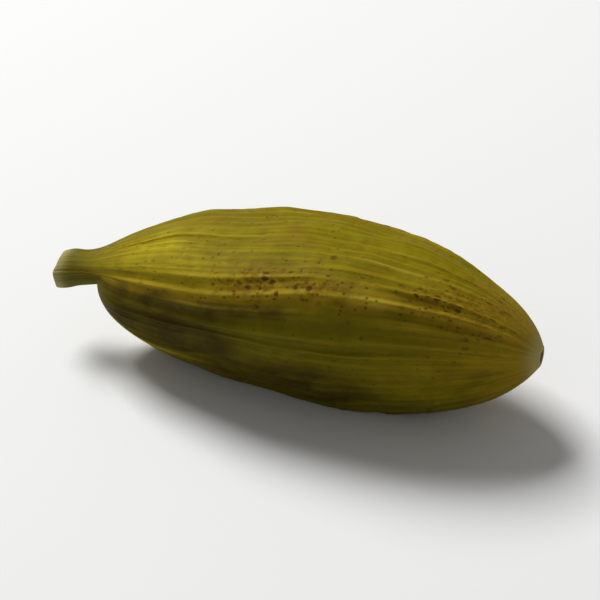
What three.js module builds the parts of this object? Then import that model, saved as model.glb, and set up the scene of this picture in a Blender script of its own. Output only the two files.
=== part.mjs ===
// A dried green cardamom pod: one ribbed, three-sided seed capsule lying on its side.
// Millimetres, +Z up. Its length runs along X, from the beak at -X to the stalk end at +X.
// The origin is below the middle of the pod's box, on the surface that the pod rests on.
import * as THREE from "three";

// Body outline: from the widest place to either end, the radius is the girth's radius times
// (1 - share ** power) ** ease, where share is 0 at the widest place and 1 at the end.
// On the beak's side the upper outline is a long slope that starts softly and rises to a low
// shoulder, and the under one is a blunt lobe. Both taper to a blunt end at the stalk.
const LENGTH = 20.6;
const GIRTH_RADIUS = 3.81;
const WIDEST_AT = 11.8;
const SLOPE = { start: 1.69, power: 1.6, ease: 0.75, softness: 0.03 };
const LOBE = { start: 1.75, power: 2.6, ease: 0.385, softness: 0.003 };
const TAPER_ABOVE = { power: 1.98, ease: 0.57 };
const TAPER_BELOW = { power: 1.8, ease: 0.595 };
const SHOULDER_HEIGHT = 0.5;
const SHOULDER_AT = 5.37;
const SHOULDER_REACH = 1.45;

// Beak: a short dry tube, broken off, with a beaded lip and a shallow cup in its end. It droops,
// and runs softly into the slope above but meets the lobe below in a sharp corner.
const BEAK_RADIUS = 0.705;
const BEAK_FADE = 6;
const BEAK_DROOP = 0.4;
const BEAK_DROOP_REACH = 1.6;
const LIP_BEAD = 0.1;
const LIP_AT = 0.35;
const LIP_REACH = 0.45;
const BEAK_CUP_DEPTH = 0.7;
const BEAK_CUP_FLOOR = { radiusShare: 0.45, depthShare: 0.85 };
const BEAK_CUP_WALL = { radiusShare: 0.68, depthShare: 0.3 };
const BEAK_CUP_MOUTH = 0.82;

// Stalk end: a small nub with a pit where the stalk came away
const SCAR_RADIUS = 0.42;
const SCAR_FADE = 3;
const SCAR_PIT_DEPTH = 0.25;
const SCAR_PIT_WALL = { radiusShare: 0.3, depthShare: 0.7 };
const SCAR_PIT_MOUTH = 0.62;

// Power of the smooth join between the body and its ends: the beak above and below, and the nub
const SLOPE_JOIN = 1;
const LOBE_JOIN = 5;
const NUB_JOIN = 2.5;

// Three ridges run from end to end, with a slight twist. Angles are in degrees, from the front (-Y)
// up and over, at the middle of the pod. The twist is the turn from the beak to the stalk.
const RIDGE_ANGLES = [38, 164, 272];
const TWIST = 30;
const ANGLE_DEPTH = 0.1;
const ANGLE_SHARPNESS = 1.5;
const ANGLE_GAIN_AT_ENDS = 0.9;
const ANGLE_FADE_POWER = 0.35;

// Ribs: a fixed number on each face, the first of them on the ridge itself
const RIBS_PER_FACE = 12;
const RIB_HEIGHT = 0.11;
const RIB_HEIGHT_SPREAD = 1.1;
const RIB_PLACE_SPREAD = 0.4;
const RIDGE_HEIGHT = 0.17;
const RIB_SHARPNESS = 2;
const RIB_FADE_POWER = 1.2;

// A fold of skin that has lifted on the front ridge, and a hollow below that ridge by the beak.
// Each has its place along, its place in ribs from the front ridge, and its reach both ways.
const FOLD = { height: 0.14, along: 14.1, rib: 0.25, reach: 0.95, ribReach: 0.5 };
const HOLLOW = { height: -0.22, along: 4.6, rib: -2.4, reach: 2.2, ribReach: 1.7 };

// Long swells where the seeds press on the husk from within, as waves along and round the pod
const SWELLS = [
  { height: 0.05, pitch: 6.1, turns: 3, phase: 0.4 },
  { height: 0.03, pitch: 4.1, turns: -4, phase: 2.1 },
  { height: 0.015, pitch: 2.7, turns: 5, phase: 4.4 },
];

// The body bows a little, up and back, towards its upper side. How far round a place lies from the
// under side, from 0 to 1, says where the lobe ends and where the slope is reached.
const BOW = 0.22;
const UPPER_SIDE_ANGLE = 126;
const LOBE_EDGE = 0.06;
const SLOPE_EDGE = 0.55;

// Rest: how much of the lowest ridge is pressed flat. The flat spot is a triangle between three
// corners of the mesh that stand round the weight, and the skin beside it is a little clear of the
// ground.
const FLAT_DEPTH = 0.6;
const FLAT_CORNERS = [
  { ring: 16, column: 69 },
  { ring: 25, column: 78 },
  { ring: 31, column: 66 },
];
const FLAT_CLEARANCE = 0.28;
const FLAT_EDGE_TOLERANCE = 0.00001;

// Mesh fineness: columns follow the ribs' crests and grooves, rings crowd towards both ends
const COLUMNS_PER_RIB = 3;
const RINGS = 46;
const RING_CROWDING = 0.4;

const HUSK_COLOUR = 0x7b6d1a;
const HUSK_ROUGHNESS = 0.62;

const FACES = RIDGE_ANGLES.length;
const RIBS = FACES * RIBS_PER_FACE;
const COLUMNS = RIBS * COLUMNS_PER_RIB;

// Steps of these two irrational numbers give an even, repeatable scatter from 0 to 1
const GOLDEN_STEP = 0.6180339887;
const PLASTIC_STEP = 0.7548776662;

function scatter(index, step) {
  return (index * step) % 1;
}

// Angle of a ridge in radians. Ridges past the last one go on round for another turn.
function ridgeAngle(index) {
  const turn = Math.floor(index / FACES);
  return THREE.MathUtils.degToRad(RIDGE_ANGLES[index - turn * FACES] + 360 * turn);
}

// Angle of a rib: even steps from ridge to ridge, each shifted a little off its step
function ribAngle(index) {
  const face = Math.floor(index / RIBS_PER_FACE);
  const place = index - face * RIBS_PER_FACE;
  const shift = place === 0 ? 0 : RIB_PLACE_SPREAD * (scatter(index, GOLDEN_STEP) - 0.5);
  return THREE.MathUtils.lerp(ridgeAngle(face), ridgeAngle(face + 1), (place + shift) / RIBS_PER_FACE);
}

function ribHeight(index) {
  const rib = index % RIBS;
  if (rib % RIBS_PER_FACE === 0) {
    return RIDGE_HEIGHT;
  }
  return RIB_HEIGHT * (1 + RIB_HEIGHT_SPREAD * (scatter(rib, PLASTIC_STEP) - 0.5));
}

// Share of the way from the widest place to the body's start by the beak. It eases to 1 around
// that start, softly above and sharply below.
function beakSideShare(along, upper) {
  const start = THREE.MathUtils.lerp(LOBE.start, SLOPE.start, upper);
  const softness = THREE.MathUtils.lerp(LOBE.softness, SLOPE.softness, upper);
  const past = (along - start) / (WIDEST_AT - start);
  return 1 - softness * Math.log1p(Math.exp(past / softness));
}

// Radius of the body alone, next to none beyond its start. Upper is 1 on the upper side of the pod
// and 0 on the under one.
function bodyRadius(along, upper) {
  const onBeakSide = along < WIDEST_AT;
  const stalkSideShare = (along - WIDEST_AT) / (LENGTH - WIDEST_AT);
  const share = Math.max(onBeakSide ? beakSideShare(along, upper) : stalkSideShare, 0);
  const above = onBeakSide ? SLOPE : TAPER_ABOVE;
  const below = onBeakSide ? LOBE : TAPER_BELOW;
  const power = THREE.MathUtils.lerp(below.power, above.power, upper);
  const ease = THREE.MathUtils.lerp(below.ease, above.ease, upper);
  return GIRTH_RADIUS * (1 - share ** power) ** ease;
}

// Radius of the beak or of the nub, each fading away into the body
function endRadius(along) {
  if (along < WIDEST_AT) {
    const tube = BEAK_RADIUS + LIP_BEAD * Math.exp(-(((along - LIP_AT) / LIP_REACH) ** 2));
    return tube * Math.exp(-((along / BEAK_FADE) ** 2));
  }
  return SCAR_RADIUS * Math.exp(-(((LENGTH - along) / SCAR_FADE) ** 2));
}

function outlineRadius(along, upper) {
  const power = along < WIDEST_AT ? THREE.MathUtils.lerp(LOBE_JOIN, SLOPE_JOIN, upper) : NUB_JOIN;
  return (bodyRadius(along, upper) ** power + endRadius(along) ** power) ** (1 / power);
}

// Place along the pod of a ring of the mesh
function ringPlace(ring) {
  const even = ring / RINGS;
  const crowded = (1 - Math.cos(Math.PI * even)) / 2;
  return LENGTH * THREE.MathUtils.lerp(even, crowded, RING_CROWDING);
}

// Profile as the share of the outline's radius and the distance along: from the beak's cup, over
// its lip and the body, into the stalk's pit. It is listed from the stalk's side, so that the
// faces of the turned blank look outwards.
function profilePoints() {
  const points = [
    new THREE.Vector2(0, BEAK_CUP_DEPTH),
    new THREE.Vector2(BEAK_CUP_FLOOR.radiusShare, BEAK_CUP_DEPTH * BEAK_CUP_FLOOR.depthShare),
    new THREE.Vector2(BEAK_CUP_WALL.radiusShare, BEAK_CUP_DEPTH * BEAK_CUP_WALL.depthShare),
    new THREE.Vector2(BEAK_CUP_MOUTH, 0),
  ];
  for (let ring = 0; ring <= RINGS; ring += 1) {
    points.push(new THREE.Vector2(1, ringPlace(ring)));
  }
  const pitWallDepth = SCAR_PIT_DEPTH * SCAR_PIT_WALL.depthShare;
  points.push(new THREE.Vector2(SCAR_PIT_MOUTH, LENGTH));
  points.push(new THREE.Vector2(SCAR_PIT_WALL.radiusShare, LENGTH - pitWallDepth));
  points.push(new THREE.Vector2(0, LENGTH - SCAR_PIT_DEPTH));
  return points.reverse();
}

// Long swells of the surface at a place along it and a turn round it
function swellHeight(along, turn) {
  let sum = 0;
  for (const { height, pitch, turns, phase } of SWELLS) {
    sum += height * Math.sin((2 * Math.PI * along) / pitch + turns * turn + phase);
  }
  return sum;
}

// Height of the fold or the hollow at a place along and a count of ribs round
function markHeight({ height, along: markAlong, rib: markRib, reach, ribReach }, along, rib) {
  const ribsAway = THREE.MathUtils.euclideanModulo(rib - markRib + RIBS / 2, RIBS) - RIBS / 2;
  return height * Math.exp(-(((along - markAlong) / reach) ** 2) - (ribsAway / ribReach) ** 2);
}

// Point of the ribbed surface: a share of the radius, a place along, and a count of ribs round
function surfacePoint(share, along, rib) {
  const lower = Math.floor(rib);
  const twist = THREE.MathUtils.degToRad(TWIST) * (along / LENGTH - 0.5);
  const angle = THREE.MathUtils.lerp(ribAngle(lower), ribAngle(lower + 1), rib - lower) + twist;
  const upperAngle = THREE.MathUtils.degToRad(UPPER_SIDE_ANGLE);
  const fromUnder = (1 + Math.cos(angle - upperAngle)) / 2;
  const upper = THREE.MathUtils.smoothstep(fromUnder, LOBE_EDGE, SLOPE_EDGE);

  const fullness = bodyRadius(along, upper) / GIRTH_RADIUS;
  const gain = 1 + ANGLE_GAIN_AT_ENDS * (1 - fullness);
  const angled = ANGLE_DEPTH * gain * fullness ** ANGLE_FADE_POWER;
  const towardRidge = (1 + Math.cos((2 * Math.PI * rib) / RIBS_PER_FACE)) / 2;
  const section = 1 + angled * (2 * towardRidge ** ANGLE_SHARPNESS - 1);

  const radius = share * outlineRadius(along, upper);
  const thickness = radius / GIRTH_RADIUS;
  const nearest = Math.round(rib);
  const crest = (1 - 2 * Math.abs(rib - nearest)) ** RIB_SHARPNESS;
  const ribbing = ribHeight(nearest) * crest * thickness ** RIB_FADE_POWER;
  const fromShoulder = (along - SHOULDER_AT) / SHOULDER_REACH;
  const shoulder = SHOULDER_HEIGHT * fromUnder ** 2 * Math.exp(-(fromShoulder ** 2));
  const swell = (swellHeight(along, (2 * Math.PI * rib) / RIBS) + shoulder) * thickness ** 2;

  const marks = (markHeight(FOLD, along, rib) + markHeight(HOLLOW, along, rib)) * thickness;

  const distance = radius * section + ribbing + swell + marks;
  const droop = BEAK_DROOP * Math.exp(-along / BEAK_DROOP_REACH);
  const lift = BOW * Math.sin((Math.PI * along) / LENGTH) - droop;
  return new THREE.Vector3(
    along,
    -distance * Math.cos(angle) - lift * Math.cos(upperAngle),
    distance * Math.sin(angle) + lift * Math.sin(upperAngle),
  );
}

// The flat spot as seen from above
function flatTriangle() {
  const corners = [];
  for (const { ring, column } of FLAT_CORNERS) {
    corners.push(surfacePoint(1, ringPlace(ring), column / COLUMNS_PER_RIB).setZ(0));
  }
  return new THREE.Triangle(...corners);
}

// Presses the under side flat, down to the ground inside the triangle and clear of it outside
function pressFlat(geometry) {
  geometry.computeBoundingBox();
  const ground = geometry.boundingBox.min.z + FLAT_DEPTH;
  const triangle = flatTriangle();
  const position = geometry.getAttribute("position");
  const place = new THREE.Vector3();
  const shares = new THREE.Vector3();
  for (let index = 0; index < position.count; index += 1) {
    place.fromBufferAttribute(position, index).setZ(0);
    triangle.getBarycoord(place, shares);
    const inside = Math.min(shares.x, shares.y, shares.z) > -FLAT_EDGE_TOLERANCE;
    const lowest = inside ? ground : ground + FLAT_CLEARANCE;
    position.setZ(index, Math.max(position.getZ(index), lowest));
  }
}

// Turned blank with every point moved out to the ribbed surface, then pressed flat below
function podGeometry() {
  const profile = profilePoints();
  const geometry = new THREE.LatheGeometry(profile, COLUMNS);
  const position = geometry.getAttribute("position");
  for (let index = 0; index < position.count; index += 1) {
    const { x: share, y: along } = profile[index % profile.length];
    const column = Math.floor(index / profile.length) % COLUMNS;
    const point = surfacePoint(share, along, column / COLUMNS_PER_RIB);
    position.setXYZ(index, point.x, point.y, point.z);
  }
  pressFlat(geometry);
  geometry.computeBoundingBox();
  const { min, max } = geometry.boundingBox;
  geometry.translate(-(min.x + max.x) / 2, -(min.y + max.y) / 2, -min.z);
  geometry.computeVertexNormals();
  return geometry;
}

const husk = new THREE.MeshStandardMaterial({
  color: HUSK_COLOUR,
  roughness: HUSK_ROUGHNESS,
  metalness: 0,
});

const pod = new THREE.Mesh(podGeometry(), husk);
pod.name = "pod";

const cardamom = new THREE.Group();
cardamom.add(pod);

export default cardamom;
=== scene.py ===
# A dried green cardamom pod, lying on a pale floor in soft studio light. Metres, +Z up.
import itertools
import math

import bpy
import numpy as np
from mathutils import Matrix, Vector


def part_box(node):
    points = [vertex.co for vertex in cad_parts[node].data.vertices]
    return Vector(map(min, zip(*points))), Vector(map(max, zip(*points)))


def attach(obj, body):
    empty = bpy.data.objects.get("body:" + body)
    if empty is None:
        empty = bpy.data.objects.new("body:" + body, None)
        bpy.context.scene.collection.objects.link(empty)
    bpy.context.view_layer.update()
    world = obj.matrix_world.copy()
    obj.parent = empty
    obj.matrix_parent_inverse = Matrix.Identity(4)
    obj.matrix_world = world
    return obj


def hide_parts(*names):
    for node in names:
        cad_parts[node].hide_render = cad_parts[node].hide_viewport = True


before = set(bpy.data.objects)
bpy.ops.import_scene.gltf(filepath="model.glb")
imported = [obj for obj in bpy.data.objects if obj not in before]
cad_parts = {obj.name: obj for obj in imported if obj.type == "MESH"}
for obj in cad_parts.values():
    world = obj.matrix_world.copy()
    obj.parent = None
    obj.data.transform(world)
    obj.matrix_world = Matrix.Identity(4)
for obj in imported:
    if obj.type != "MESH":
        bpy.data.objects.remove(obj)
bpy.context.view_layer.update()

POD_LOW, POD_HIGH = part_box("pod")
MM = 1e-3

# Body outline, as in the solid: from the widest place to either end, the radius is the girth's
# radius times (1 - share ** power) ** ease. Towards the beak there is a long slope above and a
# blunt lobe below, and the softness says how gently each comes out of the beak at its start.
LENGTH = POD_HIGH.x - POD_LOW.x
GIRTH_RADIUS = 3.81 * MM
WIDEST_AT = 11.8 * MM
SLOPE_START = 1.69 * MM
SLOPE_POWER = 1.6
SLOPE_EASE = 0.75
SLOPE_SOFTNESS = 0.03
LOBE_START = 1.75 * MM
LOBE_POWER = 2.6
LOBE_EASE = 0.385
LOBE_SOFTNESS = 0.003
TAPER_ABOVE_POWER = 1.98
TAPER_ABOVE_EASE = 0.57
TAPER_BELOW_POWER = 1.8
TAPER_BELOW_EASE = 0.595

# A shoulder fills out the upper side on the slope
SHOULDER_HEIGHT = 0.5 * MM
SHOULDER_AT = 5.37 * MM
SHOULDER_REACH = 1.45 * MM

# Beak: a short dry tube with a beaded, broken lip and a cup in its end
BEAK_RADIUS = 0.705 * MM
BEAK_FADE = 6 * MM
BEAK_DROOP = 0.4 * MM
BEAK_DROOP_REACH = 1.6 * MM
LIP_BEAD = 0.1 * MM
LIP_AT = 0.35 * MM
LIP_REACH = 0.45 * MM
LIP_ROUNDING = 0.06 * MM
LIP_RAGGEDNESS = 0.09 * MM
BEAK_CUP_DEPTH = 0.7 * MM
BEAK_CUP_MOUTH = 0.82
BEAK_CUP_POWER = 2.6

# Stalk end: a small nub with a pit where the stalk came away
SCAR_RADIUS = 0.42 * MM
SCAR_FADE = 3 * MM
SCAR_PIT_DEPTH = 0.25 * MM
SCAR_PIT_MOUTH = 0.62
SCAR_PIT_POWER = 2

# Shares of the radius over which the cup darkens with painted shade and the pit turns brown, partly as
# painted shade, and how far a pale rim reaches
CUP_SHADE = (0.55, 0.82)
PIT_SHADE = (0.2, 0.5)
RIM_REACH = 0.35 * MM

# Power of the smooth join between the body and its ends: the beak above and below, and the nub
SLOPE_JOIN = 1
LOBE_JOIN = 5
NUB_JOIN = 2.5

# Three ridges run from end to end, with a slight twist. Angles are in degrees, from the front (-Y)
# up and over, at the middle of the pod. The twist is the turn from the beak to the stalk.
RIDGE_ANGLES = (38, 164, 272)
TWIST = 30
ANGLE_DEPTH = 0.1
ANGLE_SHARPNESS = 1.5
ANGLE_GAIN_AT_ENDS = 0.9
ANGLE_FADE_POWER = 0.35

# Ribs: a fixed number on each face, the first of them on the ridge itself
RIBS_PER_FACE = 12
RIB_HEIGHT = 0.11 * MM
RIB_HEIGHT_SPREAD = 1.1
RIB_PLACE_SPREAD = 0.4
RIDGE_HEIGHT = 0.17 * MM
RIB_HALF_WIDTH = 0.2
RIB_FADE_POWER = 1.2

# Long swells where the seeds press from within: height, pitch along, turns round, phase
SWELLS = (
    (0.05 * MM, 6.1 * MM, 3, 0.4),
    (0.03 * MM, 4.1 * MM, -4, 2.1),
    (0.015 * MM, 2.7 * MM, 5, 4.4),
)

# The body bows a little, up and back, towards its upper side. How far round a place lies from the
# under side, from 0 to 1, says where the lobe ends and where the slope is reached.
BOW = 0.22 * MM
UPPER_SIDE_ANGLE = 126
LOBE_EDGE = 0.06
SLOPE_EDGE = 0.55

# How the pod lies: where its middle line runs. What would be below the ground is pressed flat.
AXIS_Y = -0.338 * MM
AXIS_HEIGHT = 3.581 * MM

# Finer relief than the solid has. Ribs wander by this share of a rib, and between two of them, at
# this share of the way, there may be a thin one.
RIB_WANDER = 0.35
MINOR_RIB_AT = 0.5
MINOR_RIB_HEIGHT = 0.035 * MM
MINOR_RIB_HALF_WIDTH = 0.14
FIBRE_HEIGHT = 0.012 * MM
SHORT_FIBRE_SHARE = 0.5
CREPE_HEIGHT = 0.013 * MM
PORE_HEIGHT = 0.010 * MM
DENT_HEIGHT = 0.035 * MM

# Strength of a rib's stretches: its middle, how far noise swings it, and its least and most
RIB_STRENGTH = (0.8, 0.9, 0.1, 1.6)
MINOR_RIB_STRENGTH = (0.4, 1.1, 0, 1)

# Noise in the form: how long its features are, how many there are to a rib, and a layer of its own
WANDER_NOISE = (4.5 * MM, 0.3, 1)
RIB_NOISE = (3 * MM, 0.9, 2)
MINOR_RIB_NOISE = (2.6 * MM, 0.8, 3)
LONG_FIBRE_NOISE = (3.2 * MM, 1.9, 4)
SHORT_FIBRE_NOISE = (1.5 * MM, 3.6, 5)
CREPE_NOISE = (0.26 * MM, 0.9, 6)
PORE_NOISE = (0.4 * MM, 1.5, 7)
DENT_NOISE = (3.4 * MM, 0.22, 8)
LIP_NOISE = (MM, 0.35, 9)

# Marks on the husk, each with its place along, its place in ribs from the front ridge, and its
# reach both ways: a lifted fold, a hollow by the beak, and patches of colour, among them painted light
# and painted shade
FOLD_HEIGHT = 0.14 * MM
FOLD = (14.1 * MM, 0.25, 0.95 * MM, 0.5)
HOLLOW_DEPTH = 0.22 * MM
HOLLOW = (4.6 * MM, -2.4, 2.2 * MM, 1.7)
WORN_PATCHES = (
    FOLD,
    (4.0 * MM, 28.7, 2.2 * MM, 0.5),
    (15.2 * MM, 3.1, 1.8 * MM, 0.5),
    (6.0 * MM, 13.0, 2.0 * MM, 0.6),
    (13.0 * MM, 19.0, 2.4 * MM, 0.5),
)
SPECKLED_PATCHES = (
    (9.4 * MM, 0.6, 1.9 * MM, 1.1),
    (12.2 * MM, 0.4, 1.7 * MM, 0.9),
    (17.4 * MM, 1.2, 1.6 * MM, 1.9),
    (19.0 * MM, 2.5, 1.2 * MM, 4.0),
    (7.5 * MM, 12.4, 2.4 * MM, 1.3),
    (14.5 * MM, 11.2, 2.0 * MM, 1.4),
    (10.5 * MM, 24.5, 3.0 * MM, 1.2),
)
SPECKLED_EVERYWHERE = 0.06
# Painted light: a bright patch on the upper face near the beak, where the light falls, and one on the far
# face
PAINTED_LIGHT_PATCHES = (
    (5.0 * MM, 3.5, 2.6 * MM, 3.5),
    (13.5 * MM, 17.0, 3.5 * MM, 3.0),
)
# Painted shade: dark umber patches in the band below the front ridge, where shade falls, and one on the
# far lower face
PAINTED_SHADE_PATCHES = (
    (7.0 * MM, -0.95, 4.2 * MM, 0.5),
    (5.2 * MM, -1.4, 3.3 * MM, 1.15),
    (5.6 * MM, -3.9, 3.4 * MM, 2.4),
    (10.5 * MM, -7.0, 4.0 * MM, 2.4),
    (8.0 * MM, 21.0, 3.0 * MM, 2.0),
)
AMBER_PATCHES = (
    (17.0 * MM, -3.6, 2.8 * MM, 4.0),
    (16.5 * MM, 14.0, 2.6 * MM, 3.0),
)

# Other fields of colour, in ribs: how far a ridge's colour reaches, and how softly the yellow face
# passes into the green ones, whose darkness is partly painted shade. Crests count up to this many times a
# rib's height.
RIDGE_COLOUR_REACH = 0.7
FACE_SHADE_EDGE = 0.35
CREST_LIMIT = 1.5

# Fine mesh: columns follow the ribs, rings crowd towards both ends
COLUMNS_PER_RIB = 12
RINGS = 205
RING_CROWDING = 0.3
CUP_RINGS = 9
LIP_RINGS = 3
PIT_RINGS = 6

# Steps of these two irrational numbers give an even, repeatable scatter from 0 to 1
GOLDEN_STEP = 0.6180339887
PLASTIC_STEP = 0.7548776662

FACES = len(RIDGE_ANGLES)
RIBS = FACES * RIBS_PER_FACE
COLUMNS = RIBS * COLUMNS_PER_RIB

NOISE_CELLS = 48
NOISE_SEED = 11
LAYER_STEP = 7.31
LATTICE = np.random.default_rng(NOISE_SEED).uniform(-1, 1, (NOISE_CELLS,) * 3)

# Colours of the husk
YELLOW = (0.228, 0.180, 0.002, 1)
# Bright yellow of the painted light
PAINTED_LIGHT_YELLOW = (0.42, 0.335, 0.012, 1)
# Green of the husk, darker than the yellow partly as painted shade for the lower faces
GREEN_WITH_PAINTED_SHADE = (0.112, 0.099, 0.002, 1)
# Dark of the husk's streaks, also used as painted shade between ribs
DARK_STREAK_AND_GROOVE_SHADE = (0.05, 0.038, 0.001, 1)
# Umber of the painted shade below the front ridge
PAINTED_SHADE_UMBER = (0.026, 0.016, 0.001, 1)
AMBER = (0.215, 0.148, 0.003, 1)
STRAW = (0.48, 0.370, 0.035, 1)
TAN = (0.32, 0.205, 0.010, 1)
RUST = (0.17, 0.088, 0.005, 1)
BROWN = (0.080, 0.034, 0.004, 1)
PALE = (0.108, 0.103, 0.018, 1)
RIM = (0.46, 0.39, 0.17, 1)
# Painted shade inside the beak's cup, and the pit's brown, darkened partly as painted shade
PAINTED_CUP_SHADE = (0.045, 0.026, 0.008, 1)
PIT_BROWN_AND_SHADE = (0.075, 0.038, 0.010, 1)

# Noise in the material: features to a millimetre along the pod, and across it both ways
BLOTCH_SCALE = (0.2, 0.42, 0.42)
PATCHY_SCALE = (0.8, 1.1, 1.1)
TANNED_SCALE = (0.55, 0.9, 0.9)
STREAK_SCALE = (0.4, 5.5, 5.5)
CRUMB_SCALE = (5, 8, 8)
MOTTLE_SCALE = (2.6, 3.6, 3.6)
UNEVEN_SCALE = (6, 6, 6)
NOISE_DETAIL = 3
FINE_DETAIL = 4
NOISE_MIDDLE = 0.5

# How warm the ground colour is, from green to yellow: by the face, where the lower faces' darker green is
# partly painted shade, and by two noises
WARMTH_BY_FACE_SHADE = 0.7
WARMTH_BY_BLOTCH = 1.2
WARMTH_BY_PATCHY = 0.7

# Ramps, named for what they give and what they read: two values read, and what is given at each.
# Most give the share of a colour that is mixed in.
YELLOW_BY_WARMTH = (-0.1, 0.7, 0.0, 1.0)
AMBER_BY_TANNED = (0.48, 0.64, 0.0, 0.75)
PAINTED_LIGHT_BY_PATCHY = (0.3, 0.6, 0.3, 0.8)
AMBER_BY_PATCHY = (0.3, 0.6, 0.4, 0.85)
GROOVE_SHADE_BY_CREST = (0.0, 0.35, 0.32, 0.0)
DARK_BY_STREAK = (0.55, 0.78, 0.0, 0.4)
STRAW_BY_CREST = (0.4, 1.2, 0.0, 1.0)
STRAW_BY_STREAK = (0.55, 0.35, 0.0, 0.32)
STRAW_BY_FACE_SHADE = (0.0, 1.0, 0.35, 1.0)
PAINTED_SHADE_BY_MARK = (0.12, 0.6, 0.0, 1.0)
PAINTED_SHADE_BY_PATCHY = (0.65, 0.3, 0.62, 0.92)
TAN_BY_PATCHY = (0.38, 0.62, 0.25, 0.65)
WORN_BY_CREST = (0.0, 0.8, 0.1, 0.65)
RUST_BY_MOTTLE = (0.42, 0.6, 0.0, 0.75)
ROUGHNESS_BY_CRUMB = (0.3, 0.7, 0.5, 0.68)

# Specks of two sizes: cells to a millimetre, strength of the darkest, and how many more or fewer
# of the cells have one than the speckled field says
SPECKS = (
    (3.7, 0.95, -0.04),
    (6.8, 0.75, 0.07),
)
SPECKLED_TAN = 0.45
SPECK_CROWDING = 0.85
SPECK_LENGTHWAYS = 0.75
SPECK_UNEVENNESS = 0.5
SPECK_EDGE = (0.5, 0.2, 0.0, 1.0)
SPECK_FAINTEST = 0.25

# Ends: millimetres along the pod where the beak's pale colour and the stalk's tan begin and end,
# with the share of each there, how far their edges fray, and the strength of the pale rims
PALE_BY_ALONG = (0.3, 3.2, 0.55, 0.0)
TAN_BY_ALONG = (17.4, 20.4, 0.0, 0.55)
FRAYING = 3.0
RIM_STRENGTH = 0.6

# Sheen of the husk, and the finest relief on it
HUSK_SPECULAR = 0.04
BUMP_HEIGHT = 0.035 * MM
BUMP_OF_STREAK = 0.7
BUMP_OF_CRUMB = 0.6

FLOOR_SIZE = 1.2
FLOOR_COLOUR = (0.82, 0.82, 0.81, 1)
FLOOR_ROUGHNESS = 0.9

# Camera: degrees to the right of the front and up, lens and sensor in millimetres, and the width
# that it sees at the pod
CAMERA_AZIMUTH = 19
CAMERA_ELEVATION = 36
CAMERA_LENS = 180
CAMERA_SENSOR = 36
FRAME_WIDTH = 24.5 * MM

# Lights: azimuth and elevation of where each stands, distance, size and power
LIGHTS = {
    "key": (238, 52, 0.35, 0.16, 1.35),
    "fill": (-20, 30, 0.45, 0.35, 0.08),
}
WORLD_COLOUR = (1.0, 1.0, 1.0, 1)
WORLD_STRENGTH = 0.22


def lerp(start, end, share):
    return start + (end - start) * share


def bell(offset, half_width):
    return np.exp(-((offset / half_width) ** 2))


def smoothstep(value, low, high):
    share = np.clip((value - low) / (high - low), 0, 1)
    return share**2 * (3 - 2 * share)


def scatter(index, step):
    return (index * step) % 1


def smooth_noise(*place):
    """Smooth noise from -1 to 1 with features about one unit wide, at arrays of x, y and z."""
    place = np.broadcast_arrays(*place)
    cells = [np.floor(axis).astype(int) for axis in place]
    eased = [(axis - cell) ** 2 * (3 - 2 * (axis - cell)) for axis, cell in zip(place, cells)]
    total = np.zeros(place[0].shape)
    for corner in itertools.product((0, 1), repeat=3):
        weight = 1
        for ease, step in zip(eased, corner):
            weight = weight * (ease if step else 1 - ease)
        index = tuple((cell + step) % NOISE_CELLS for cell, step in zip(cells, corner))
        total += weight * LATTICE[index]
    return total


def husk_noise(along, rib, length, per_rib, layer):
    """Noise on the husk with features of that length along it and that many to a rib round it."""
    turn = 2 * np.pi * rib / RIBS
    reach = RIBS * per_rib / (2 * np.pi)
    return smooth_noise(along / length + layer * LAYER_STEP, reach * np.cos(turn), reach * np.sin(turn))


def ridge_angle(index):
    turn, ridge = divmod(index, FACES)
    return math.radians(RIDGE_ANGLES[ridge] + 360 * turn)


def rib_angle(index):
    face, place = divmod(index, RIBS_PER_FACE)
    shift = RIB_PLACE_SPREAD * (scatter(index, GOLDEN_STEP) - 0.5) if place else 0
    return lerp(ridge_angle(face), ridge_angle(face + 1), (place + shift) / RIBS_PER_FACE)


def rib_height(index):
    rib = index % RIBS
    if rib % RIBS_PER_FACE == 0:
        return RIDGE_HEIGHT
    return RIB_HEIGHT * (1 + RIB_HEIGHT_SPREAD * (scatter(rib, PLASTIC_STEP) - 0.5))


RIB_ANGLES = np.array([rib_angle(index) for index in range(RIBS + 1)])
RIB_HEIGHTS = np.array([rib_height(index) for index in range(RIBS + 1)])


def ribs_from(rib, place):
    """Signed distance in ribs from one place round the pod, the short way."""
    return (rib - place + RIBS / 2) % RIBS - RIBS / 2


def ridge_offset(rib):
    """Distance from the nearest ridge, in ribs."""
    return np.abs((rib + RIBS_PER_FACE / 2) % RIBS_PER_FACE - RIBS_PER_FACE / 2)


def body_radius(along, upper):
    on_beak_side = along < WIDEST_AT
    start = lerp(LOBE_START, SLOPE_START, upper)
    softness = lerp(LOBE_SOFTNESS, SLOPE_SOFTNESS, upper)
    past_start = (along - start) / (WIDEST_AT - start)
    beak_share = 1 - softness * np.logaddexp(0, past_start / softness)
    beak_power = lerp(LOBE_POWER, SLOPE_POWER, upper)
    beak_ease = lerp(LOBE_EASE, SLOPE_EASE, upper)
    stalk_share = (along - WIDEST_AT) / (LENGTH - WIDEST_AT)
    stalk_power = lerp(TAPER_BELOW_POWER, TAPER_ABOVE_POWER, upper)
    stalk_ease = lerp(TAPER_BELOW_EASE, TAPER_ABOVE_EASE, upper)
    power = np.where(on_beak_side, beak_power, stalk_power)
    ease = np.where(on_beak_side, beak_ease, stalk_ease)
    share = np.clip(np.where(on_beak_side, beak_share, stalk_share), 0, 1)
    return GIRTH_RADIUS * (1 - share**power) ** ease


def end_radius(along):
    tube = (BEAK_RADIUS + LIP_BEAD * bell(along - LIP_AT, LIP_REACH)) * bell(along, BEAK_FADE)
    return np.where(along < WIDEST_AT, tube, SCAR_RADIUS * bell(LENGTH - along, SCAR_FADE))


def outline_radius(along, upper):
    power = np.where(along < WIDEST_AT, lerp(LOBE_JOIN, SLOPE_JOIN, upper), NUB_JOIN)
    return (body_radius(along, upper) ** power + end_radius(along) ** power) ** (1 / power)


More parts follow.
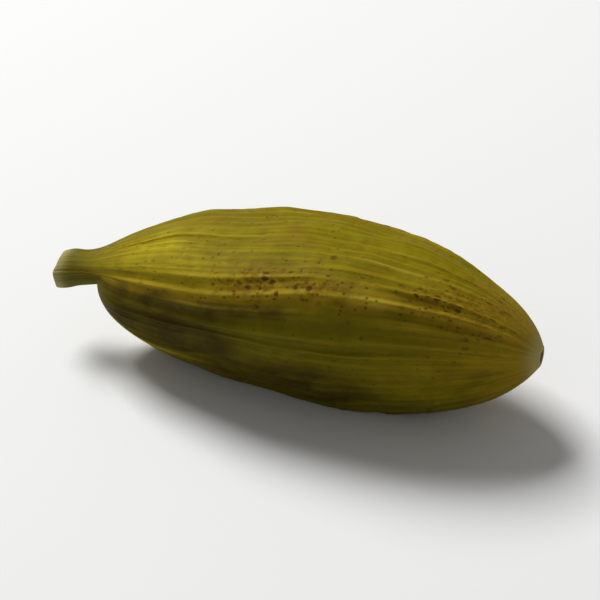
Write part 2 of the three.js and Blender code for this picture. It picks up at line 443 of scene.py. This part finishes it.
def profile():
    """Share of the outline's radius and distance along, ring by ring, from cup to pit."""
    cup = np.linspace(0, BEAK_CUP_MOUTH, CUP_RINGS + 1)[1:]
    cup_along = BEAK_CUP_DEPTH * (1 - (cup / BEAK_CUP_MOUTH) ** BEAK_CUP_POWER)
    lip_steps = np.linspace(0, 1, LIP_RINGS + 2)[1:-1]
    lip = lerp(BEAK_CUP_MOUTH, 1, lip_steps)
    lip_along = -LIP_ROUNDING * np.sin(np.pi * lip_steps)
    even = np.linspace(0, 1, RINGS + 1)
    outer_along = LENGTH * lerp(even, (1 - np.cos(np.pi * even)) / 2, RING_CROWDING)
    pit = np.linspace(SCAR_PIT_MOUTH, 0, PIT_RINGS + 1)[:-1]
    pit_along = LENGTH - SCAR_PIT_DEPTH * (1 - (pit / SCAR_PIT_MOUTH) ** SCAR_PIT_POWER)
    share = np.concatenate([cup, lip, np.ones(RINGS + 1), pit])
    along = np.concatenate([cup_along, lip_along, outer_along, pit_along])
    return share[:, None], along[:, None]


def husk_angle(along, on_pod, rib):
    """Angle round the pod of each place on a rib, from the front up and over."""
    wander = husk_noise(along, rib, *WANDER_NOISE) * RIB_WANDER * 2 * np.pi / RIBS
    twist = math.radians(TWIST) * (on_pod / LENGTH - 0.5)
    return np.interp(rib, np.arange(RIBS + 1), RIB_ANGLES) + twist + wander


def three_sided(on_pod, rib, upper):
    """Factor on the radius that makes the section three-sided, most of all near the ends."""
    fullness = body_radius(on_pod, upper) / GIRTH_RADIUS
    gain = 1 + ANGLE_GAIN_AT_ENDS * (1 - fullness)
    toward_ridge = (1 + np.cos(2 * np.pi * rib / RIBS_PER_FACE)) / 2
    angled = ANGLE_DEPTH * gain * fullness**ANGLE_FADE_POWER
    return 1 + angled * (2 * toward_ridge**ANGLE_SHARPNESS - 1)


def broken(strength, noise):
    """Strength of the stretches of a rib, stronger and weaker as the noise is."""
    middle, swing, least, most = strength
    return np.clip(middle + swing * noise, least, most)


def rib_relief(along, rib):
    """Ribs, each broken into stronger and weaker stretches, and thin ones between them."""
    nearest = np.round(rib).astype(int)
    off_rib = np.abs(rib - nearest)
    strength = broken(RIB_STRENGTH, husk_noise(along, nearest, *RIB_NOISE))
    ribs = RIB_HEIGHTS[nearest] * bell(off_rib, RIB_HALF_WIDTH) * strength
    minor_strength = broken(MINOR_RIB_STRENGTH, husk_noise(along, rib, *MINOR_RIB_NOISE))
    minor = MINOR_RIB_HEIGHT * bell(off_rib - MINOR_RIB_AT, MINOR_RIB_HALF_WIDTH) * minor_strength
    return ribs + minor


def skin_relief(along, rib):
    """Dry skin: long fibres, short cross wrinkles and small pores."""
    fibre = husk_noise(along, rib, *LONG_FIBRE_NOISE)
    fibre = fibre + SHORT_FIBRE_SHARE * husk_noise(along, rib, *SHORT_FIBRE_NOISE)
    crepe = husk_noise(along, rib, *CREPE_NOISE)
    pores = husk_noise(along, rib, *PORE_NOISE)
    return FIBRE_HEIGHT * fibre + CREPE_HEIGHT * crepe + PORE_HEIGHT * pores


def swell_height(along, rib, from_under):
    """The shoulder, the swells over the seeds, and broad shallow dents."""
    turn = 2 * np.pi * rib / RIBS
    swell = SHOULDER_HEIGHT * from_under**2 * bell(along - SHOULDER_AT, SHOULDER_REACH)
    for height, pitch, turns, phase in SWELLS:
        swell = swell + height * np.sin(2 * np.pi * along / pitch + turns * turn + phase)
    return swell + DENT_HEIGHT * husk_noise(along, rib, *DENT_NOISE)


def lip_shift(along, rib, share):
    """How far the ragged lip of the beak reaches out or falls short."""
    ragged = LIP_RAGGEDNESS * husk_noise(0 * along, rib, *LIP_NOISE)
    on_lip = np.exp(-np.abs(along) / LIP_REACH) * np.minimum(share / BEAK_CUP_MOUTH, 1) ** 2
    return ragged * on_lip


def mark(along, rib, place):
    """How strongly a mark shows, from 0 to 1."""
    mark_along, mark_rib, reach, rib_reach = place
    return bell(along - mark_along, reach) * bell(ribs_from(rib, mark_rib), rib_reach)


def marks(along, rib, places):
    return np.max([mark(along, rib, place) for place in places], axis=0)


def husk():
    """Fine surface of the pod: points, and the fields that its material reads."""
    share, along = profile()
    on_pod = np.clip(along, 0, LENGTH)
    rib = np.arange(COLUMNS)[None, :] / COLUMNS_PER_RIB
    angle = husk_angle(along, on_pod, rib)
    upper_angle = math.radians(UPPER_SIDE_ANGLE)
    from_under = (1 + np.cos(angle - upper_angle)) / 2
    upper = smoothstep(from_under, LOBE_EDGE, SLOPE_EDGE)

    radius = share * outline_radius(on_pod, upper)
    thickness = radius / GIRTH_RADIUS
    relief = rib_relief(along, rib) + skin_relief(along, rib)
    lifted = FOLD_HEIGHT * mark(along, rib, FOLD) - HOLLOW_DEPTH * mark(along, rib, HOLLOW)
    swell = swell_height(along, rib, from_under) * thickness**2
    distance = radius * three_sided(on_pod, rib, upper) + relief * thickness**RIB_FADE_POWER
    distance = distance + swell + lifted * thickness

    along = along + lip_shift(along, rib, share)
    droop = BEAK_DROOP * np.exp(-along / BEAK_DROOP_REACH)
    lift = BOW * np.sin(np.pi * on_pod / LENGTH) - droop
    y = -distance * np.cos(angle) - lift * math.cos(upper_angle)
    z = distance * np.sin(angle) + lift * math.sin(upper_angle)
    fields = husk_fields(share, along, on_pod, rib, relief)
    return stacked(z.shape, along, y, z), {name: stacked(z.shape, *axes) for name, axes in fields.items()}


def husk_fields(share, along, on_pod, rib, relief):
    """What the material reads at each point: a place in the grain, and strengths of what shows."""
    turn = 2 * np.pi * rib / RIBS
    reach = GIRTH_RADIUS / MM
    face_middle = ribs_from(rib, RIBS_PER_FACE / 2)
    on_stalk_side = on_pod > WIDEST_AT
    cup_shade_share = 1 - smoothstep(share, *CUP_SHADE)
    pit_shade_share = 1 - smoothstep(share, *PIT_SHADE)
    rim_reach = np.where(on_stalk_side, bell(LENGTH - on_pod, RIM_REACH), bell(on_pod, RIM_REACH))
    return {
        "grain": (along / MM, reach * np.cos(turn), reach * np.sin(turn)),
        "crest": (np.clip(relief / RIB_HEIGHT, 0, CREST_LIMIT),),
        "ridge": (bell(ridge_offset(rib), RIDGE_COLOUR_REACH),),
        # The yellow upper face against the lower faces, whose darker green is partly painted shade
        "face_tone_and_shade": (1 / (1 + np.exp((np.abs(face_middle) - RIBS_PER_FACE / 2) / FACE_SHADE_EDGE)),),
        "worn": (marks(along, rib, WORN_PATCHES),),
        # Painted light on the upper face near the beak
        "painted_light": (marks(along, rib, PAINTED_LIGHT_PATCHES),),
        # Painted shade below the front ridge
        "painted_shade": (marks(along, rib, PAINTED_SHADE_PATCHES),),
        "amber": (marks(along, rib, AMBER_PATCHES),),
        # Painted shade in the hollow cup, and the pit's brown, partly painted shade
        "cup": (np.where(on_stalk_side, 0, cup_shade_share),),
        "pit": (np.where(on_stalk_side, pit_shade_share, 0),),
        "rim": (rim_reach * np.where(on_stalk_side, 1 - pit_shade_share, 1 - cup_shade_share),),
        "speckled": (np.maximum(marks(along, rib, SPECKLED_PATCHES), SPECKLED_EVERYWHERE),),
    }


def stacked(shape, *axes):
    return np.stack([np.broadcast_to(axis, shape) for axis in axes], axis=-1)


def pod_mesh():
    points, fields = husk()
    rings, columns = points.shape[:2]
    points = points + np.array([POD_LOW.x, AXIS_Y, AXIS_HEIGHT])
    points[..., 2] = np.maximum(points[..., 2], 0)
    first, last = points[0].mean(axis=0), points[-1].mean(axis=0)
    vertices = np.concatenate([points.reshape(-1, 3), [first, last]])
    here = np.arange(rings * columns).reshape(rings, columns)
    there = np.roll(here, -1, axis=1)
    quads = np.stack([here[:-1], here[1:], there[1:], there[:-1]], axis=-1).reshape(-1, 4)
    first_index, last_index = rings * columns, rings * columns + 1
    caps = [(first_index, a, b) for a, b in zip(here[0], there[0])]
    caps += [(last_index, b, a) for a, b in zip(here[-1], there[-1])]
    mesh = bpy.data.meshes.new("pod_husk")
    mesh.from_pydata(vertices.tolist(), [], quads.tolist() + caps)
    mesh.shade_smooth()
    for name, values in fields.items():
        add_field(mesh, name, values)
    mesh.update()
    return mesh


def add_field(mesh, name, values):
    """Stores a value for each point. The two points in the middles of the ends copy a neighbour."""
    flat = values.reshape(-1, values.shape[-1])
    flat = np.concatenate([flat, flat[:1], flat[-1:]])
    vector = values.shape[-1] == 3
    layer = mesh.attributes.new(name, "FLOAT_VECTOR" if vector else "FLOAT", "POINT")
    layer.data.foreach_set("vector" if vector else "value", flat.astype(np.float32).ravel())


class Nodes:
    """Short calls for building a material's node tree."""

    def __init__(self, name):
        self.material = bpy.data.materials.new(name)
        self.material.use_nodes = True
        self.tree = self.material.node_tree
        self.shader = self.tree.nodes["Principled BSDF"]

    def set(self, socket, value):
        if isinstance(value, bpy.types.NodeSocket):
            self.tree.links.new(value, socket)
        else:
            socket.default_value = value

    def field(self, name, output="Fac"):
        node = self.tree.nodes.new("ShaderNodeAttribute")
        node.attribute_name = name
        return node.outputs[output]

    def math(self, operation, first, second):
        node = self.tree.nodes.new("ShaderNodeMath")
        node.operation = operation
        self.set(node.inputs[0], first)
        self.set(node.inputs[1], second)
        return node.outputs[0]

    def add(self, first, second):
        return self.math("ADD", first, second)

    def times(self, first, second):
        return self.math("MULTIPLY", first, second)

    def noise(self, grain, scale, detail=NOISE_DETAIL):
        node = self.tree.nodes.new("ShaderNodeTexNoise")
        self.set(node.inputs["Vector"], self.stretch(grain, scale))
        node.inputs["Scale"].default_value = 1
        node.inputs["Detail"].default_value = detail
        return node.outputs["Fac"]

    def swing(self, noise, strength):
        """Noise about zero, times a strength."""
        return self.times(self.add(noise, -NOISE_MIDDLE), strength)

    def cells(self, grain, scale):
        """Distance from the nearest cell's middle, and a random red and green for each cell."""
        node = self.tree.nodes.new("ShaderNodeTexVoronoi")
        self.set(node.inputs["Vector"], self.stretch(grain, scale))
        node.inputs["Scale"].default_value = 1
        parts = self.tree.nodes.new("ShaderNodeSeparateColor")
        self.set(parts.inputs[0], node.outputs["Color"])
        return node.outputs["Distance"], parts.outputs[0], parts.outputs[1]

    def stretch(self, vector, scale):
        node = self.tree.nodes.new("ShaderNodeVectorMath")
        node.operation = "MULTIPLY"
        self.set(node.inputs[0], vector)
        node.inputs[1].default_value = scale
        return node.outputs[0]

    def ramp(self, value, low, high, to_low, to_high):
        node = self.tree.nodes.new("ShaderNodeMapRange")
        node.interpolation_type = "SMOOTHSTEP"
        self.set(node.inputs["Value"], value)
        node.inputs["From Min"].default_value = low
        node.inputs["From Max"].default_value = high
        node.inputs["To Min"].default_value = to_low
        node.inputs["To Max"].default_value = to_high
        return node.outputs["Result"]

    def mix(self, factor, first, second):
        node = self.tree.nodes.new("ShaderNodeMixRGB")
        self.set(node.inputs[0], factor)
        self.set(node.inputs[1], first)
        self.set(node.inputs[2], second)
        return node.outputs[0]

    def axis(self, vector, name):
        node = self.tree.nodes.new("ShaderNodeSeparateXYZ")
        self.set(node.inputs[0], vector)
        return node.outputs[name]

    def bump(self, height, distance):
        node = self.tree.nodes.new("ShaderNodeBump")
        self.set(node.inputs["Height"], height)
        node.inputs["Distance"].default_value = distance
        return node.outputs["Normal"]


def husk_colour(n, grain, streak):
    """Ground colour: darker on the lower faces, partly as painted shade; painted shade between ribs and
    wear pale on them; then patches, specks and the ends.
    """
    crest, ridge, face_tone_and_shade = n.field("crest"), n.field("ridge"), n.field("face_tone_and_shade")
    blotch = n.noise(grain, BLOTCH_SCALE)
    patchy = n.noise(grain, PATCHY_SCALE)
    tanned = n.noise(grain, TANNED_SCALE, FINE_DETAIL)

    # Warmth follows the face: the lower faces go to the darker green, partly as painted shade
    warmth = n.add(n.times(face_tone_and_shade, WARMTH_BY_FACE_SHADE), n.swing(blotch, WARMTH_BY_BLOTCH))
    warmth = n.add(warmth, n.swing(patchy, WARMTH_BY_PATCHY))
    colour = n.mix(n.ramp(warmth, *YELLOW_BY_WARMTH), GREEN_WITH_PAINTED_SHADE, YELLOW)
    colour = n.mix(n.times(face_tone_and_shade, n.ramp(tanned, *AMBER_BY_TANNED)), colour, AMBER)
    # Painted light on the upper face near the beak
    colour = n.mix(n.times(n.field("painted_light"), n.ramp(patchy, *PAINTED_LIGHT_BY_PATCHY)), colour, PAINTED_LIGHT_YELLOW)
    colour = n.mix(n.times(n.field("amber"), n.ramp(patchy, *AMBER_BY_PATCHY)), colour, AMBER)
    # Painted shade in the grooves between ribs, then dark streaks in the husk
    colour = n.mix(n.ramp(crest, *GROOVE_SHADE_BY_CREST), colour, DARK_STREAK_AND_GROOVE_SHADE)
    colour = n.mix(n.ramp(streak, *DARK_BY_STREAK), colour, DARK_STREAK_AND_GROOVE_SHADE)
    straw = n.times(n.ramp(crest, *STRAW_BY_CREST), n.ramp(streak, *STRAW_BY_STREAK))
    colour = n.mix(n.times(straw, n.ramp(face_tone_and_shade, *STRAW_BY_FACE_SHADE)), colour, STRAW)
    # Painted shade: umber in the band below the front ridge
    painted_shade = n.times(n.ramp(n.field("painted_shade"), *PAINTED_SHADE_BY_MARK), n.ramp(patchy, *PAINTED_SHADE_BY_PATCHY))
    colour = n.mix(painted_shade, colour, PAINTED_SHADE_UMBER)
    colour = n.mix(n.times(ridge, n.ramp(patchy, *TAN_BY_PATCHY)), colour, TAN)
    colour = n.mix(n.times(n.field("worn"), n.ramp(crest, *WORN_BY_CREST)), colour, STRAW)
    return beak_and_stalk(n, grain, specks(n, grain, colour), patchy)


def specks(n, grain, colour):
    """Tan skin and rusty mottling with brown specks of two sizes, where the husk is speckled."""
    speckled = n.field("speckled")
    colour = n.mix(n.times(speckled, SPECKLED_TAN), colour, TAN)
    mottle = n.noise(grain, MOTTLE_SCALE, FINE_DETAIL)
    colour = n.mix(n.times(speckled, n.ramp(mottle, *RUST_BY_MOTTLE)), colour, RUST)
    uneven = n.noise(grain, UNEVEN_SCALE)
    for fineness, strength, more in SPECKS:
        away, pick, depth = n.cells(grain, (fineness * SPECK_LENGTHWAYS, fineness, fineness))
        away = n.add(away, n.swing(uneven, SPECK_UNEVENNESS))
        chosen = n.math("LESS_THAN", pick, n.add(n.times(speckled, SPECK_CROWDING), more))
        dot = n.times(n.ramp(away, *SPECK_EDGE), n.ramp(depth, 0, 1, SPECK_FAINTEST, strength))
        colour = n.mix(n.times(chosen, dot), colour, BROWN)
    return colour


def beak_and_stalk(n, grain, colour, patchy):
    """Colours of the two ends, with frayed edges, their rims, the pit's brown, and painted shade in both
    hollows.
    """
    frayed = n.add(n.axis(grain, "X"), n.swing(patchy, FRAYING))
    colour = n.mix(n.ramp(frayed, *PALE_BY_ALONG), colour, PALE)
    colour = n.mix(n.ramp(frayed, *TAN_BY_ALONG), colour, TAN)
    colour = n.mix(n.times(n.field("rim"), RIM_STRENGTH), colour, RIM)
    # The pit's brown, partly painted shade, and painted shade in the beak's cup
    colour = n.mix(n.field("pit"), colour, PIT_BROWN_AND_SHADE)
    return n.mix(n.field("cup"), colour, PAINTED_CUP_SHADE)


def husk_material():
    n = Nodes("husk")
    grain = n.field("grain", "Vector")
    streak = n.noise(grain, STREAK_SCALE, FINE_DETAIL)
    crumb = n.noise(grain, CRUMB_SCALE)
    n.set(n.shader.inputs["Base Color"], husk_colour(n, grain, streak))
    n.set(n.shader.inputs["Roughness"], n.ramp(crumb, *ROUGHNESS_BY_CRUMB))
    n.shader.inputs["Specular IOR Level"].default_value = HUSK_SPECULAR
    height = n.add(n.times(streak, BUMP_OF_STREAK), n.times(crumb, BUMP_OF_CRUMB))
    n.set(n.shader.inputs["Normal"], n.bump(height, BUMP_HEIGHT))
    return n.material


def add_object(name, data):
    thing = bpy.data.objects.new(name, data)
    bpy.context.scene.collection.objects.link(thing)
    return thing


def make_pod():
    pod = add_object("cardamom_pod", pod_mesh())
    pod.data.materials.append(husk_material())
    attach(pod, "root")
    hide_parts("pod")


def make_floor():
    half = FLOOR_SIZE / 2
    corners = [(-half, -half, 0), (half, -half, 0), (half, half, 0), (-half, half, 0)]
    mesh = bpy.data.meshes.new("floor")
    mesh.from_pydata(corners, [], [(0, 1, 2, 3)])
    floor = add_object("floor", mesh)
    n = Nodes("floor")
    n.shader.inputs["Base Color"].default_value = FLOOR_COLOUR
    n.shader.inputs["Roughness"].default_value = FLOOR_ROUGHNESS
    mesh.materials.append(n.material)


def place_round(thing, middle, azimuth, elevation, distance):
    """Stands a camera or light at that distance from the middle, facing it."""
    turn, rise = math.radians(azimuth), math.radians(elevation)
    level = math.cos(rise)
    back = Vector((math.sin(turn) * level, -math.cos(turn) * level, math.sin(rise)))
    thing.location = middle + back * distance
    thing.rotation_euler = back.to_track_quat("Z", "Y").to_euler()


def make_camera():
    data = bpy.data.cameras.new("camera")
    data.lens = CAMERA_LENS
    data.sensor_width = CAMERA_SENSOR
    data.clip_start = MM
    camera = add_object("camera", data)
    distance = FRAME_WIDTH * CAMERA_LENS / CAMERA_SENSOR
    place_round(camera, (POD_LOW + POD_HIGH) / 2, CAMERA_AZIMUTH, CAMERA_ELEVATION, distance)
    bpy.context.scene.camera = camera


def make_light():
    for name, (azimuth, elevation, distance, size, power) in LIGHTS.items():
        data = bpy.data.lights.new(name, "AREA")
        data.size = size
        data.energy = power
        place_round(add_object(name, data), Vector(), azimuth, elevation, distance)
    world = bpy.data.worlds.new("studio")
    world.use_nodes = True
    background = world.node_tree.nodes["Background"]
    background.inputs["Color"].default_value = WORLD_COLOUR
    background.inputs["Strength"].default_value = WORLD_STRENGTH
    bpy.context.scene.world = world
    bpy.context.scene.view_settings.view_transform = "Standard"


make_camera()
make_pod()
make_floor()
make_light()
